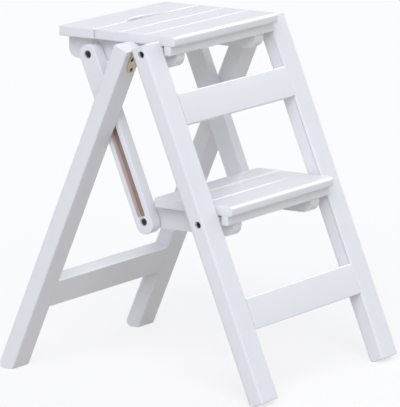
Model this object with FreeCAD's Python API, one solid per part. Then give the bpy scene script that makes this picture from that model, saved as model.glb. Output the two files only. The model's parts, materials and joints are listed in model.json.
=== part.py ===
import FreeCAD
import Part
import math
import os

# Folding step stool chair in painted wood.
# A front frame of two leaning stiles carries a seat and a lower step, each on two pivot bolts.
# Two links hang the rear ends of the seat and the step on one another, and a rear frame is
# hinged to the tops of the stiles. A guide pin in each rear leg runs in a groove in each link,
# so lifting the rear of the seat folds the links, the step and the rear frame together.
# Millimetres. X is the width, -Y the front, +Z up. The origin is on the floor, in the middle.

# Heights of the two treads, and how far the stiles and the rear legs lean from the vertical
SEAT_HEIGHT = 520.0
STEP_HEIGHT = 279.0
STILE_LEAN = 22.2
LEG_LEAN = 22.8

# How far the seat turns on its bolts from use to folded, in degrees
FOLD_ANGLE = 60.0

# Stiles and rear legs
FRAME_WIDTH = 382.0
POST_WIDTH = 44.0
POST_DEPTH = 25.0
STILE_EDGE_RADIUS = 4.0
LEG_EDGE_RADIUS = 2.5
STILE_TOP_ABOVE_HINGE = 2.5
LEG_TOP_BELOW_HINGE = 2.5
FRONT_FOOT_FLAT = 6.0
HEEL_RADIUS = 9.0

# Rails, placed by the lower edge of their front face
RAIL_HEIGHT = 47.5
RAIL_THICKNESS = 18.0
RAIL_EDGE_RADIUS = 1.5
UPPER_RAIL_BELOW_SEAT = 125.0
LOWER_RAIL_BELOW_STEP = 174.7
REAR_RAIL_HEIGHT = 45.0
REAR_RAIL_THICKNESS = 21.0
REAR_RAIL_BELOW_STEP = 186.0

# Dowels in the rail ends
DOWEL_RADIUS = 4.0
DOWEL_LENGTH = 30.0
DOWEL_SPACING = 24.0
GLUE_GAP = 0.05

# Treads: planks with a nosed front edge, and a strip glued under it
BOARD_THICKNESS = 15.0
TREAD_SIDE_GAP = 6.0
SEAT_DEPTH = 205.5
STEP_DEPTH = 136.0
REAR_BOARD_DEPTH = 61.5
BOARD_GAP = 2.8
SEAT_NOSE_AHEAD_OF_PIVOT = 26.0
STEP_NOSE_AHEAD_OF_PIVOT = 27.5
NOSE_TOP_RADIUS = 6.0
NOSE_LOWER_RADIUS = 4.0
BOARD_EDGE_RADIUS = 1.5
FRONT_PLANK = 52.5
SECOND_PLANK = 44.0
SEAM_EASE = 2.6
SEAM_TURN = 60.0
APRON_HEIGHT = 14.0
APRON_THICKNESS = 11.0
APRON_SETBACK = 8.0
HANDHOLD_LENGTH = 104.0
HANDHOLD_DEPTH = 15.0
HANDHOLD_EDGE_RADIUS = 2.5

# Cleats under the treads
CLEAT_THICKNESS = 22.0
CLEAT_HEIGHT = 35.0
CLEAT_SIDE_GAP = 2.7
CLEAT_FRONT_SETBACK = 12.0
SEAT_CLEAT_REAR_SETBACK = 2.5
STEP_CLEAT_BEHIND_PIVOT = 16.0
CLEAT_LOWER_RADIUS = 15.0
CLEAT_UPPER_RADIUS = 10.0

# Wood screws up through the cleats
SCREW_RADIUS = 2.0
SCREW_HEAD_RADIUS = 3.8
SCREW_HEAD_HEIGHT = 2.6
SCREW_WELL_RADIUS = 4.5
SCREW_WELL_DEPTH = 14.0
SCREW_BITE = 10.0
SCREW_END_MARGIN = 11.0
SCREW_CLEAR_OF_PIVOT = 11.0

# Pivots: the front ones on the stiles, the rear ones on the links
PIVOT_BELOW_TREAD = 21.5
PIVOT_AHEAD_OF_CENTRE = 2.0
CRANK_LENGTH = 126.5
CRANK_DROP = 17.2

# Pivot bolts
BOLT_RADIUS = 3.0
RUNNING_GAP = 0.08
SLIDE_GAP = 0.3
BOLT_HEAD_RADIUS = 4.6
BOLT_HEAD_HEIGHT = 5.0
SOCKET_ACROSS = 4.0
SOCKET_DEPTH = 2.5
STILE_WELL_RADIUS = 5.0
STILE_WELL_DEPTH = 10.0
LINK_WELL_RADIUS = 6.0
LINK_WELL_DEPTH = 8.0
SPACER_RADIUS = 5.0
WASHER_RADIUS = 5.6
WASHER_THICKNESS = 1.2
NUT_ACROSS = 10.0
NUT_HEIGHT = 5.0
BOLT_TIP = 1.5

# Links, and the groove in each that guides the rear leg's pin
LINK_SIDE_GAP = 3.4
LINK_THICKNESS = 22.3
LINK_WIDTH = 29.4
LINK_ABOVE_PIVOT = 0.5
LINK_BELOW_PIVOT = 4.0
LINK_EDGE_RADIUS = 1.8
GROOVE_WIDTH = 13.5
GROOVE_DEPTH = 10.0
GROOVE_OVERRUN = 0.5
GUIDE_PIN_RADIUS = 3.0
GUIDE_PIN_COVER = 8.4
GUIDE_PIN_LAG = 3.3
GUIDE_PIN_SINK = 20.0
GUIDE_PIN_TIP_GAP = 0.6
COLLAR_RADIUS = 6.0

# Brass butt hinges at the tops of the frames
HINGE_STANDOFF = 3.1
HINGE_BELOW_SEAT = 18.8
LEAF_WIDTH = 26.0
LEAF_LENGTH = 40.0
LEAF_THICKNESS = 1.7
LEAF_INSET = 4.0
BARREL_RADIUS = 2.6
HINGE_PIN_RADIUS = 1.4
HINGE_PIN_GAP = 0.05
KNUCKLE_GAP = 0.3
LEAF_SCREW_RADIUS = 1.7
LEAF_SCREW_HEAD_RADIUS = 3.3
LEAF_SCREW_LENGTH = 16.0
LEAF_SCREW_SPREAD = 15.0
LEAF_SCREW_UPPER = 17.0
LEAF_SCREW_LOWER = 34.5

# Planes and heights that follow from the sizes above
SIN = math.sin(math.radians(STILE_LEAN))
COS = math.cos(math.radians(STILE_LEAN))
LEG_SIN = math.sin(math.radians(LEG_LEAN))
LEG_COS = math.cos(math.radians(LEG_LEAN))
POST_INSIDE = FRAME_WIDTH / 2 - POST_WIDTH
LINK_OUTSIDE = POST_INSIDE - LINK_SIDE_GAP
LINK_INSIDE = LINK_OUTSIDE - LINK_THICKNESS
CLEAT_OUTSIDE = LINK_INSIDE - CLEAT_SIDE_GAP
CLEAT_INSIDE = CLEAT_OUTSIDE - CLEAT_THICKNESS
TREAD_HALF_WIDTH = POST_INSIDE - TREAD_SIDE_GAP
HINGE_HEIGHT = SEAT_HEIGHT - HINGE_BELOW_SEAT
STILE_FRONT = -(HINGE_STANDOFF + POST_DEPTH)
PIVOT_LINE = -(HINGE_STANDOFF + POST_DEPTH / 2 + PIVOT_AHEAD_OF_CENTRE)
FRONT_FRAME = -STILE_LEAN
REAR_FRAME = LEG_LEAN
SIDES = {"left": -1, "right": 1}
LONG = 4 * SEAT_HEIGHT
SAME_POINT = 0.0001


def vec(x, y, z):
    return FreeCAD.Vector(x, y, z)


def block(x0, x1, y0, y1, z0, z1):
    """A box between two corners."""
    return Part.makeBox(abs(x1 - x0), abs(y1 - y0), abs(z1 - z0), vec(min(x0, x1), min(y0, y1), min(z0, z1)))


def rod(radius, x0, x1, y, z):
    """A round bar along X from x0 to x1."""
    return Part.makeCylinder(radius, abs(x1 - x0), vec(min(x0, x1), y, z), vec(1, 0, 0))


def hexagon(across, x0, x1, y, z):
    """A hexagonal bar along X, measured across its flats."""
    reach = across / math.sqrt(3)
    corners = [vec(min(x0, x1), y + reach * math.cos(math.radians(a)), z + reach * math.sin(math.radians(a)))
               for a in range(0, 361, 60)]
    return Part.Face(Part.makePolygon(corners)).extrude(vec(abs(x1 - x0), 0, 0))


def rounded_section(width, height, radius):
    """A rectangle with round corners, centred on the origin, in the XY plane."""
    w = width / 2
    h = height / 2
    k = radius * (1 - math.sqrt(0.5))
    start = [vec(w - radius, -h, 0), vec(w, h - radius, 0), vec(-w + radius, h, 0), vec(-w, -h + radius, 0)]
    middle = [vec(w - k, -h + k, 0), vec(w - k, h - k, 0), vec(-w + k, h - k, 0), vec(-w + k, -h + k, 0)]
    end = [vec(w, -h + radius, 0), vec(w - radius, h, 0), vec(-w, h - radius, 0), vec(-w + radius, -h, 0)]
    edges = []
    for i in range(4):
        edges.append(Part.LineSegment(end[i - 1], start[i]).toShape())
        edges.append(Part.Arc(start[i], middle[i], end[i]).toShape())
    return Part.Face(Part.Wire(edges))


def upright_bar(width, depth, radius, x, y, z0, z1):
    """A bar along Z with round long edges, centred on x and y."""
    bar = rounded_section(width, depth, radius).extrude(vec(0, 0, z1 - z0))
    bar.translate(vec(x, y, z0))
    return bar


def cross_bar(depth, height, radius, half_length, y0, z0):
    """A bar along X with round long edges, from y0 backwards and from z0 upwards."""
    bar = rounded_section(height, depth, radius).extrude(vec(0, 0, 2 * half_length))
    bar.rotate(vec(0, 0, 0), vec(0, 1, 0), 90)
    bar.translate(vec(-half_length, y0 + depth / 2, z0 + height / 2))
    return bar


def bend(y, z, radius, start, end):
    """Three points of an arc round y and z, between two angles measured from +Y towards +Z."""
    angles = [math.radians(a) for a in (start, (start + end) / 2, end)]
    return [vec(0, y + radius * math.cos(a), z + radius * math.sin(a)) for a in angles]


def profile_bar(bends, half_length):
    """A bar along X whose section runs through a list of arcs, joined by straight lines."""
    edges = []
    for before, arc in zip(bends[-1:] + bends[:-1], bends):
        if before[2].distanceToPoint(arc[0]) > SAME_POINT:
            edges.append(Part.LineSegment(before[2], arc[0]).toShape())
        edges.append(Part.Arc(*arc).toShape())
    bar = Part.Face(Part.Wire(edges)).extrude(vec(2 * half_length, 0, 0))
    bar.translate(vec(-half_length, 0, 0))
    return bar


def stadium(width, x0, x1, y, z_low, z_high):
    """A flat bar with half-round ends centred on z_low and z_high, from x0 to x1."""
    bar = block(x0, x1, y - width / 2, y + width / 2, z_low, z_high)
    ends = [rod(width / 2, x0, x1, y, z) for z in (z_low, z_high)]
    return bar.fuse(ends).removeSplitter()


def lean(shape, angle):
    """Stands a piece drawn round the hinge axis, along Z, at its lean below the hinges."""
    leaned = shape.copy()
    leaned.rotate(vec(0, 0, 0), vec(1, 0, 0), angle)
    leaned.translate(vec(0, 0, HINGE_HEIGHT))
    return leaned


def bench_height(floor_height, y, angle):
    """The height along a leaning frame at which a point at depth y stands floor_height up."""
    tilt = math.radians(angle)
    return (floor_height - HINGE_HEIGHT - y * math.sin(tilt)) / math.cos(tilt)


def front_pivot(tread_height):
    """The front pivot of a tread, on the pivot line of the leaning stiles."""
    z = tread_height - PIVOT_BELOW_TREAD
    along = bench_height(z, PIVOT_LINE, FRONT_FRAME)
    return PIVOT_LINE * COS + along * SIN, z


def rear_pivot(tread_height):
    """The link pivot of a tread, behind and a little below its front pivot."""
    y, z = front_pivot(tread_height)
    return y + CRANK_LENGTH, z - CRANK_DROP


def stile_place(point):
    """A point of the YZ plane as depth and height along the leaning stiles."""
    y = point[0]
    z = point[1] - HINGE_HEIGHT
    return y * COS - z * SIN, y * SIN + z * COS


def long_edges(shape, axis, least):
    """The straight edges of a shape along one axis that are longer than least."""
    found = []
    for edge in shape.Edges:
        ends = [v.Point for v in edge.Vertexes]
        if len(ends) == 2 and edge.Length > least and abs((ends[1] - ends[0]).normalize().dot(axis)) > 0.999:
            found.append(edge)
    return found


# Pivots at rest, and the run of the guide pin along the link
SEAT_FRONT_PIVOT = front_pivot(SEAT_HEIGHT)
STEP_FRONT_PIVOT = front_pivot(STEP_HEIGHT)
SEAT_LINK_PIVOT = rear_pivot(SEAT_HEIGHT)
STEP_LINK_PIVOT = rear_pivot(STEP_HEIGHT)
LINK_LINE, LINK_TOP = stile_place(SEAT_LINK_PIVOT)
LINK_LOW = stile_place(STEP_LINK_PIVOT)[1]
GUIDE_PIN_DEPTH = HINGE_STANDOFF + POST_DEPTH - GUIDE_PIN_COVER
OPENING = math.radians(STILE_LEAN + LEG_LEAN)
GUIDE_PIN_DROP = (LINK_LINE + GUIDE_PIN_LAG - GUIDE_PIN_DEPTH * math.cos(OPENING)) / math.sin(OPENING)


def groove_ends():
    """Where the pin stands along the link's own line, open and folded."""
    crank = math.hypot(CRANK_LENGTH, CRANK_DROP)
    crank_open = math.radians(STILE_LEAN) - math.atan2(CRANK_DROP, CRANK_LENGTH)
    crank_folded = crank_open + math.radians(FOLD_ANGLE)
    pin_open = -GUIDE_PIN_DROP * math.cos(OPENING) + GUIDE_PIN_DEPTH * math.sin(OPENING)
    link_rise = crank * (math.sin(crank_folded) - math.sin(crank_open))
    return pin_open, -GUIDE_PIN_DROP - link_rise


def rail_dowels(half_length, y, z, angle):
    """Two dowels in each end of a rail whose section is centred on y and z."""
    dowels = []
    for side in SIDES.values():
        for dz in (-DOWEL_SPACING / 2, DOWEL_SPACING / 2):
            middle = side * half_length
            dowel = rod(DOWEL_RADIUS, middle - DOWEL_LENGTH / 2, middle + DOWEL_LENGTH / 2, y, z + dz)
            dowels.append(lean(dowel, angle))
    return dowels


def dowel_holes(half_length, y, z, angle):
    """The holes that the dowels are glued into."""
    reach = DOWEL_LENGTH / 2 + GLUE_GAP
    holes = []
    for side in SIDES.values():
        for dz in (-DOWEL_SPACING / 2, DOWEL_SPACING / 2):
            middle = side * half_length
            hole = rod(DOWEL_RADIUS + GLUE_GAP, middle - reach, middle + reach, y, z + dz)
            holes.append(lean(hole, angle))
    return holes


# Each rail: its lower front edge above the floor, height, thickness, front face and lean
UPPER_RAIL_FLOOR = SEAT_HEIGHT - UPPER_RAIL_BELOW_SEAT
LOWER_RAIL_FLOOR = STEP_HEIGHT - LOWER_RAIL_BELOW_STEP
REAR_RAIL_FLOOR = STEP_HEIGHT - REAR_RAIL_BELOW_STEP
RAILS = {
    "upper_rail": (UPPER_RAIL_FLOOR, RAIL_HEIGHT, RAIL_THICKNESS, STILE_FRONT, FRONT_FRAME),
    "lower_rail": (LOWER_RAIL_FLOOR, RAIL_HEIGHT, RAIL_THICKNESS, STILE_FRONT, FRONT_FRAME),
    "rear_rail": (REAR_RAIL_FLOOR, REAR_RAIL_HEIGHT, REAR_RAIL_THICKNESS, HINGE_STANDOFF, REAR_FRAME),
}


def rail_middle(name):
    """The centre of a rail's section in its leaning frame."""
    floor, height, thickness, face, angle = RAILS[name]
    return face + thickness / 2, bench_height(floor, face, angle) + height / 2


def rail(name):
    """A rail between the posts, flush with their front faces and drilled for its dowels."""
    floor, height, thickness, face, angle = RAILS[name]
    y, z = rail_middle(name)
    bar = cross_bar(thickness, height, RAIL_EDGE_RADIUS, POST_INSIDE, face, z - height / 2)
    return lean(bar, angle).cut(dowel_holes(POST_INSIDE, y, z, angle))


def leaf_screw_places():
    """The three screws of a hinge leaf, as distances from its middle and below the pin."""
    return [(-LEAF_SCREW_SPREAD / 2, LEAF_SCREW_UPPER), (LEAF_SCREW_SPREAD / 2, LEAF_SCREW_UPPER),
            (0.0, LEAF_SCREW_LOWER)]


def leaf_middle(side):
    """The middle of a hinge across the post, near the post's inner edge."""
    return side * (POST_INSIDE + LEAF_INSET + LEAF_WIDTH / 2)


def leaf_screw(x, drop, facing, gap):
    """A countersunk screw through a leaf into the post; facing is the side of the axis it is on."""
    outer = facing * (HINGE_STANDOFF - LEAF_THICKNESS)
    place = vec(x, outer, -drop)
    into = vec(0, facing, 0)
    head = Part.makeCone(LEAF_SCREW_HEAD_RADIUS + gap, LEAF_SCREW_RADIUS + gap, LEAF_THICKNESS, place, into)
    shank = Part.makeCylinder(LEAF_SCREW_RADIUS + gap, LEAF_SCREW_LENGTH + gap, place, into)
    return head.fuse(shank).removeSplitter()


def leaf_screws(facing, angle, gap, sides):
    """All the screws of the leaves on one frame."""
    return [lean(leaf_screw(leaf_middle(side) + dx, drop, facing, gap), angle)
            for side in sides for dx, drop in leaf_screw_places()]


def leaf(side, facing, angle):
    """A round-ended hinge leaf with its knuckles: one in the middle on the stile, two on the leg."""
    x = leaf_middle(side)
    half = LEAF_WIDTH / 2
    y0 = facing * HINGE_STANDOFF
    y1 = facing * (HINGE_STANDOFF - LEAF_THICKNESS)
    tip = LEAF_LENGTH - half
    plate = block(x - half, x + half, y0, y1, -tip, 0)
    end = Part.makeCylinder(half, LEAF_THICKNESS, vec(x, min(y0, y1), -tip), vec(0, 1, 0))
    plate = plate.fuse(end).removeSplitter()
    third = LEAF_WIDTH / 3
    kept = [(-third / 2, third / 2)] if facing < 0 else [(-half, -third / 2), (third / 2, half)]
    lost = [(-half, -third / 2), (third / 2, half)] if facing < 0 else [(-third / 2, third / 2)]
    inner_gap = KNUCKLE_GAP / 2
    notch = BARREL_RADIUS + KNUCKLE_GAP
    for x0, x1 in lost:
        plate = plate.cut(block(x + x0 - inner_gap, x + x1 + inner_gap, y0, y1, -notch, notch))
    for x0, x1 in kept:
        start = x0 + (inner_gap if x0 > -half else 0)
        stop = x1 - (inner_gap if x1 < half else 0)
        plate = plate.fuse(rod(BARREL_RADIUS, x + start, x + stop, 0, 0))
    plate = plate.removeSplitter().cut(rod(HINGE_PIN_RADIUS + HINGE_PIN_GAP, x - half, x + half, 0, 0))
    return lean(plate, angle).cut(leaf_screws(facing, angle, GLUE_GAP, [side]))


def hinge_pin(side):
    """The pin through the three knuckles."""
    x = leaf_middle(side)
    reach = LEAF_WIDTH / 2 + KNUCKLE_GAP
    return lean(rod(HINGE_PIN_RADIUS, x - reach, x + reach, 0, 0), 0)


def stile_foot():
    """Where a stile is cut square, so that its rear edge leaves the wanted flat on the floor."""
    return bench_height(-FRONT_FOOT_FLAT * SIN * COS, -HINGE_STANDOFF, FRONT_FRAME)


def stile(side):
    """A front post: soft edges, cut square at both ends, with a small flat worn on the heel."""
    x = side * (POST_INSIDE + POST_WIDTH / 2)
    y = -(HINGE_STANDOFF + POST_DEPTH / 2)
    bar = upright_bar(POST_WIDTH, POST_DEPTH, STILE_EDGE_RADIUS, x, y, stile_foot(), STILE_TOP_ABOVE_HINGE)
    post = lean(bar, FRONT_FRAME)
    post = post.cut(block(x - POST_WIDTH, x + POST_WIDTH, -LONG, LONG, -LONG, 0))
    face = side * FRAME_WIDTH / 2
    cuts = []
    for py, pz in (SEAT_FRONT_PIVOT, STEP_FRONT_PIVOT):
        cuts.append(rod(BOLT_RADIUS + GLUE_GAP, side * POST_INSIDE, face, py, pz))
        cuts.append(rod(STILE_WELL_RADIUS, face - side * STILE_WELL_DEPTH, face, py, pz))
    for name in ("upper_rail", "lower_rail"):
        cuts += dowel_holes(POST_INSIDE, *rail_middle(name), FRONT_FRAME)
    cuts += leaf_screws(-1, FRONT_FRAME, GLUE_GAP, [side])
    return post.cut(cuts)


def rear_leg(side):
    """A rear post: crisp edges, cut square on top and level at the foot, with a round heel."""
    x = side * (POST_INSIDE + POST_WIDTH / 2)
    y = HINGE_STANDOFF + POST_DEPTH / 2
    foot = bench_height(0, HINGE_STANDOFF, REAR_FRAME) - POST_DEPTH
    bar = upright_bar(POST_WIDTH, POST_DEPTH, LEG_EDGE_RADIUS, x, y, foot, -LEG_TOP_BELOW_HINGE)
    post = lean(bar, REAR_FRAME)
    post = post.cut(block(x - POST_WIDTH, x + POST_WIDTH, -LONG, LONG, -LONG, 0))
    post = post.cut(heel_waste(x))
    pin_end = POST_INSIDE + GUIDE_PIN_SINK + GLUE_GAP
    pin = rod(GUIDE_PIN_RADIUS + GLUE_GAP, side * POST_INSIDE, side * pin_end, GUIDE_PIN_DEPTH, -GUIDE_PIN_DROP)
    cuts = [lean(pin, REAR_FRAME)]
    cuts += dowel_holes(POST_INSIDE, *rail_middle("rear_rail"), REAR_FRAME)
    cuts += leaf_screws(1, REAR_FRAME, GLUE_GAP, [side])
    return post.cut(cuts)


def heel_reach():
    """How far the heel's rounding runs along the floor from the corner it takes off."""
    return HEEL_RADIUS / math.tan((math.pi / 2 - math.radians(LEG_LEAN)) / 2)


def heel_corner():
    """Where the back of a rear leg meets the floor."""
    back = HINGE_STANDOFF + POST_DEPTH
    return back * LEG_COS - bench_height(0, back, REAR_FRAME) * LEG_SIN


def heel_centre():
    """The centre of the heel's rounding."""
    return heel_corner() - heel_reach()


def heel_waste(x):
    """What is sanded off the sharp heel of a rear leg: its corner outside a rounding cylinder."""
    heel = heel_corner()
    on_back = vec(0, heel - heel_reach() * LEG_SIN, heel_reach() * LEG_COS)
    tip = vec(0, heel, 0)
    corner = [tip, vec(0, heel_centre(), 0), vec(0, heel_centre(), HEEL_RADIUS), on_back, tip]
    wedge = Part.Face(Part.makePolygon(corner)).extrude(vec(2 * POST_WIDTH, 0, 0))
    wedge.translate(vec(x - POST_WIDTH, 0, 0))
    return wedge.cut(rod(HEEL_RADIUS, x - POST_WIDTH, x + POST_WIDTH, heel_centre(), HEEL_RADIUS))


def guide_pin(side):
    """The steel pin in a rear leg that runs in the link's groove."""
    tip = LINK_OUTSIDE - GROOVE_DEPTH + GUIDE_PIN_TIP_GAP
    root = POST_INSIDE + GUIDE_PIN_SINK
    pin = rod(GUIDE_PIN_RADIUS, side * tip, side * root, GUIDE_PIN_DEPTH, -GUIDE_PIN_DROP)
    return lean(pin, REAR_FRAME)


def guide_collar(side):
    """The collar on the guide pin that keeps the leg off the link."""
    x0 = side * POST_INSIDE
    x1 = side * (LINK_OUTSIDE + SLIDE_GAP)
    ring = rod(COLLAR_RADIUS, x0, x1, GUIDE_PIN_DEPTH, -GUIDE_PIN_DROP)
    hole = rod(GUIDE_PIN_RADIUS + GLUE_GAP, x0, x1, GUIDE_PIN_DEPTH, -GUIDE_PIN_DROP)
    return lean(ring.cut(hole), REAR_FRAME)


def link(side):
    """A link with half-round ends, its two bolt holes and the groove for the guide pin."""
    x0 = side * LINK_INSIDE
    x1 = side * LINK_OUTSIDE
    bar = stadium(LINK_WIDTH, x0, x1, LINK_LINE, LINK_LOW - LINK_BELOW_PIVOT, LINK_TOP + LINK_ABOVE_PIVOT)
    rims = [e for e in bar.Edges if e.BoundBox.XLength < 0.1]
    bar = bar.makeFillet(LINK_EDGE_RADIUS, rims)
    upper, lower = groove_ends()
    groove = stadium(GROOVE_WIDTH, x1 - side * GROOVE_DEPTH, x1, LINK_LINE,
                     lower - GROOVE_OVERRUN, upper + GROOVE_OVERRUN)
    cuts = [groove]
    for z in (LINK_LOW, LINK_TOP):
        cuts.append(rod(BOLT_RADIUS + RUNNING_GAP, x0, x1, LINK_LINE, z))
        cuts.append(rod(LINK_WELL_RADIUS, x1 - side * LINK_WELL_DEPTH, x1, LINK_LINE, z))
    return lean(bar.cut(cuts), FRONT_FRAME)


def tread_front(tread_height):
    """The front edge of a tread."""
    ahead = SEAT_NOSE_AHEAD_OF_PIVOT if tread_height == SEAT_HEIGHT else STEP_NOSE_AHEAD_OF_PIVOT
    return front_pivot(tread_height)[0] - ahead


def plank_panel(tread_height, depth):
    """The glued-up front panel of a tread: its nosing, and planks with eased edges at each seam."""
    front = tread_front(tread_height)
    back = front + depth
    under = tread_height - BOARD_THICKNESS
    reach = SEAM_EASE * math.sin(math.radians(SEAM_TURN))
    eased = tread_height - SEAM_EASE
    bends = [bend(front + NOSE_TOP_RADIUS, tread_height - NOSE_TOP_RADIUS, NOSE_TOP_RADIUS, 180, 90)]
    for distance in (FRONT_PLANK, FRONT_PLANK + SECOND_PLANK):
        seam = front + distance
        bends.append(bend(seam - reach, eased, SEAM_EASE, 90, 90 - SEAM_TURN))
        bends.append(bend(seam + reach, eased, SEAM_EASE, 90 + SEAM_TURN, 90))
    e = BOARD_EDGE_RADIUS
    bends.append(bend(back - e, tread_height - e, e, 90, 0))
    bends.append(bend(back - e, under + e, e, 0, -90))
    bends.append(bend(front + NOSE_LOWER_RADIUS, under + NOSE_LOWER_RADIUS, NOSE_LOWER_RADIUS, -90, -180))
    return profile_bar(bends, TREAD_HALF_WIDTH)


def apron(tread_height):
    """The strip glued under the front of a tread, set back from the nose."""
    front = tread_front(tread_height) + APRON_SETBACK
    top = tread_height - BOARD_THICKNESS
    w = TREAD_HALF_WIDTH
    strip = block(-w, w, front, front + APRON_THICKNESS, top - APRON_HEIGHT, top)
    lower = [e for e in long_edges(strip, vec(1, 0, 0), w)
             if e.BoundBox.ZMin < top - 1 and e.BoundBox.YMin < front + 1]
    return strip.makeFillet(BOARD_EDGE_RADIUS, lower)


def rear_board():
    """The seat's separate rear board, with the curved hand-hold cut into its front edge and eased."""
    back = tread_front(SEAT_HEIGHT) + SEAT_DEPTH
    front = back - REAR_BOARD_DEPTH
    under = SEAT_HEIGHT - BOARD_THICKNESS
    e = BOARD_EDGE_RADIUS
    bends = [bend(front + e, SEAT_HEIGHT - e, e, 180, 90), bend(back - e, SEAT_HEIGHT - e, e, 90, 0),
             bend(back - e, under + e, e, 0, -90), bend(front + e, under + e, e, -90, -180)]
    board = profile_bar(bends, TREAD_HALF_WIDTH)
    return board.cut(handhold_waste(front, under))


def handhold_waste(front, under):
    """What the hand-hold takes out of the board: a drum whose rims flare to ease the edges of the cut."""
    half = HANDHOLD_LENGTH / 2
    radius = (half ** 2 + HANDHOLD_DEPTH ** 2) / (2 * HANDHOLD_DEPTH)
    ease = HANDHOLD_EDGE_RADIUS
    halfway = ease * (1 - math.sqrt(0.5))
    low = [vec(radius + ease, 0, 0), vec(radius + halfway, 0, halfway), vec(radius, 0, ease)]
    high = [vec(p.x, 0, BOARD_THICKNESS - p.z) for p in reversed(low)]
    edges = [Part.LineSegment(vec(0, 0, 0), low[0]).toShape(), Part.Arc(*low).toShape(),
             Part.LineSegment(low[2], high[0]).toShape(), Part.Arc(*high).toShape(),
             Part.LineSegment(high[2], vec(0, 0, BOARD_THICKNESS)).toShape(),
             Part.LineSegment(vec(0, 0, BOARD_THICKNESS), vec(0, 0, 0)).toShape()]
    drum = Part.Face(Part.Wire(edges)).revolve(vec(0, 0, 0), vec(0, 0, 1), 360)
    drum.translate(vec(0, front + HANDHOLD_DEPTH - radius, under))
    return drum


def cleat_screw_rows(tread_height):
    """The depths at which screws go up through a cleat, moved aside where they would meet a pivot bolt."""
    front = tread_front(tread_height) + CLEAT_FRONT_SETBACK + APRON_THICKNESS
    back = tread_back(tread_height)
    if tread_height == SEAT_HEIGHT:
        seam = back - REAR_BOARD_DEPTH - BOARD_GAP
        rows = [front + SCREW_END_MARGIN, (front + seam) / 2, seam - SCREW_END_MARGIN]
        rows += [seam + BOARD_GAP + 2 * SCREW_END_MARGIN, back - SCREW_END_MARGIN]
    else:
        rows = [front + SCREW_END_MARGIN, (front + back) / 2, back - SCREW_END_MARGIN]
    for pivot in (front_pivot(tread_height)[0], rear_pivot(tread_height)[0]):
        for i, row in enumerate(rows):
            if abs(row - pivot) < SCREW_CLEAR_OF_PIVOT:
                rows[i] = pivot + math.copysign(SCREW_CLEAR_OF_PIVOT, row - pivot)
    return rows


def cleat_screws(tread_height, gap, sides):
    """Pan-head wood screws sunk in wells in the underside of the cleats."""
    under = tread_height - BOARD_THICKNESS
    seat = under - CLEAT_HEIGHT + SCREW_WELL_DEPTH
    screws = []
    for side in sides:
        x = side * (CLEAT_INSIDE + CLEAT_OUTSIDE) / 2
        for y in cleat_screw_rows(tread_height):
            shank = Part.makeCylinder(SCREW_RADIUS + gap, under + SCREW_BITE + gap - seat, vec(x, y, seat))
            head_foot = vec(x, y, seat - SCREW_HEAD_HEIGHT)
            head = Part.makeCylinder(SCREW_HEAD_RADIUS, SCREW_HEAD_HEIGHT, head_foot)
            screws.append(shank.fuse(head).removeSplitter())
    return screws


def cleat(tread_height, side, back):
    """A bearer under a tread: round lower corners, notched round the apron, drilled for its bolts."""
    under = tread_height - BOARD_THICKNESS
    low = under - CLEAT_HEIGHT
    front = tread_front(tread_height) + CLEAT_FRONT_SETBACK
    x0 = side * CLEAT_INSIDE
    x1 = side * CLEAT_OUTSIDE
    bearer = block(x0, x1, front, back, low, under)
    across = [e for e in bearer.Edges if e.BoundBox.XLength > CLEAT_THICKNESS / 2]
    corners = [e for e in across if e.BoundBox.ZMin < low + 1]
    bearer = bearer.makeFillet(CLEAT_LOWER_RADIUS, corners)
    if back > tread_back(tread_height):
        across = [e for e in bearer.Edges if e.BoundBox.XLength > CLEAT_THICKNESS / 2]
        upper = [e for e in across if e.BoundBox.ZMin > under - 1 and e.BoundBox.YMin > back - 1]
        bearer = bearer.makeFillet(CLEAT_UPPER_RADIUS, upper)
    notch_back = tread_front(tread_height) + APRON_SETBACK + APRON_THICKNESS
    cuts = [block(x0, x1, front - 1, notch_back, under - APRON_HEIGHT, under)]
    for y, z in (front_pivot(tread_height), rear_pivot(tread_height)):
        cuts.append(rod(BOLT_RADIUS + RUNNING_GAP, x0, x1, y, z))
    for y in cleat_screw_rows(tread_height):
        x = (x0 + x1) / 2
        cuts.append(Part.makeCylinder(SCREW_WELL_RADIUS, SCREW_WELL_DEPTH, vec(x, y, low)))
    return bearer.cut(cuts + cleat_screws(tread_height, GLUE_GAP, [side]))


def tread_back(tread_height):
    """The rear edge of a tread."""
    depth = SEAT_DEPTH if tread_height == SEAT_HEIGHT else STEP_DEPTH
    return tread_front(tread_height) + depth


def socket_bolt(side, head_x, tip_x, y, z):
    """A socket-head bolt along X whose head bears at head_x and whose tip is at tip_x."""
    shank = rod(BOLT_RADIUS, side * tip_x, side * head_x, y, z)
    head = rod(BOLT_HEAD_RADIUS, side * head_x, side * (head_x + BOLT_HEAD_HEIGHT), y, z)
    end = side * (head_x + BOLT_HEAD_HEIGHT)
    socket = hexagon(SOCKET_ACROSS, end - side * SOCKET_DEPTH, end, y, z)
    return shank.fuse(head).removeSplitter().cut(socket)


def ring(outer, inner, x0, x1, y, z):
    """A washer or a sleeve along X."""
    return rod(outer, x0, x1, y, z).cut(rod(inner, x0, x1, y, z))


def pivot_nut(side, x, y, z):
    """A hexagon nut whose outer face is at x."""
    x0 = side * x
    x1 = side * (x - NUT_HEIGHT)
    return hexagon(NUT_ACROSS, x0, x1, y, z).cut(rod(BOLT_RADIUS + GLUE_GAP, x0, x1, y, z))


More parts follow.
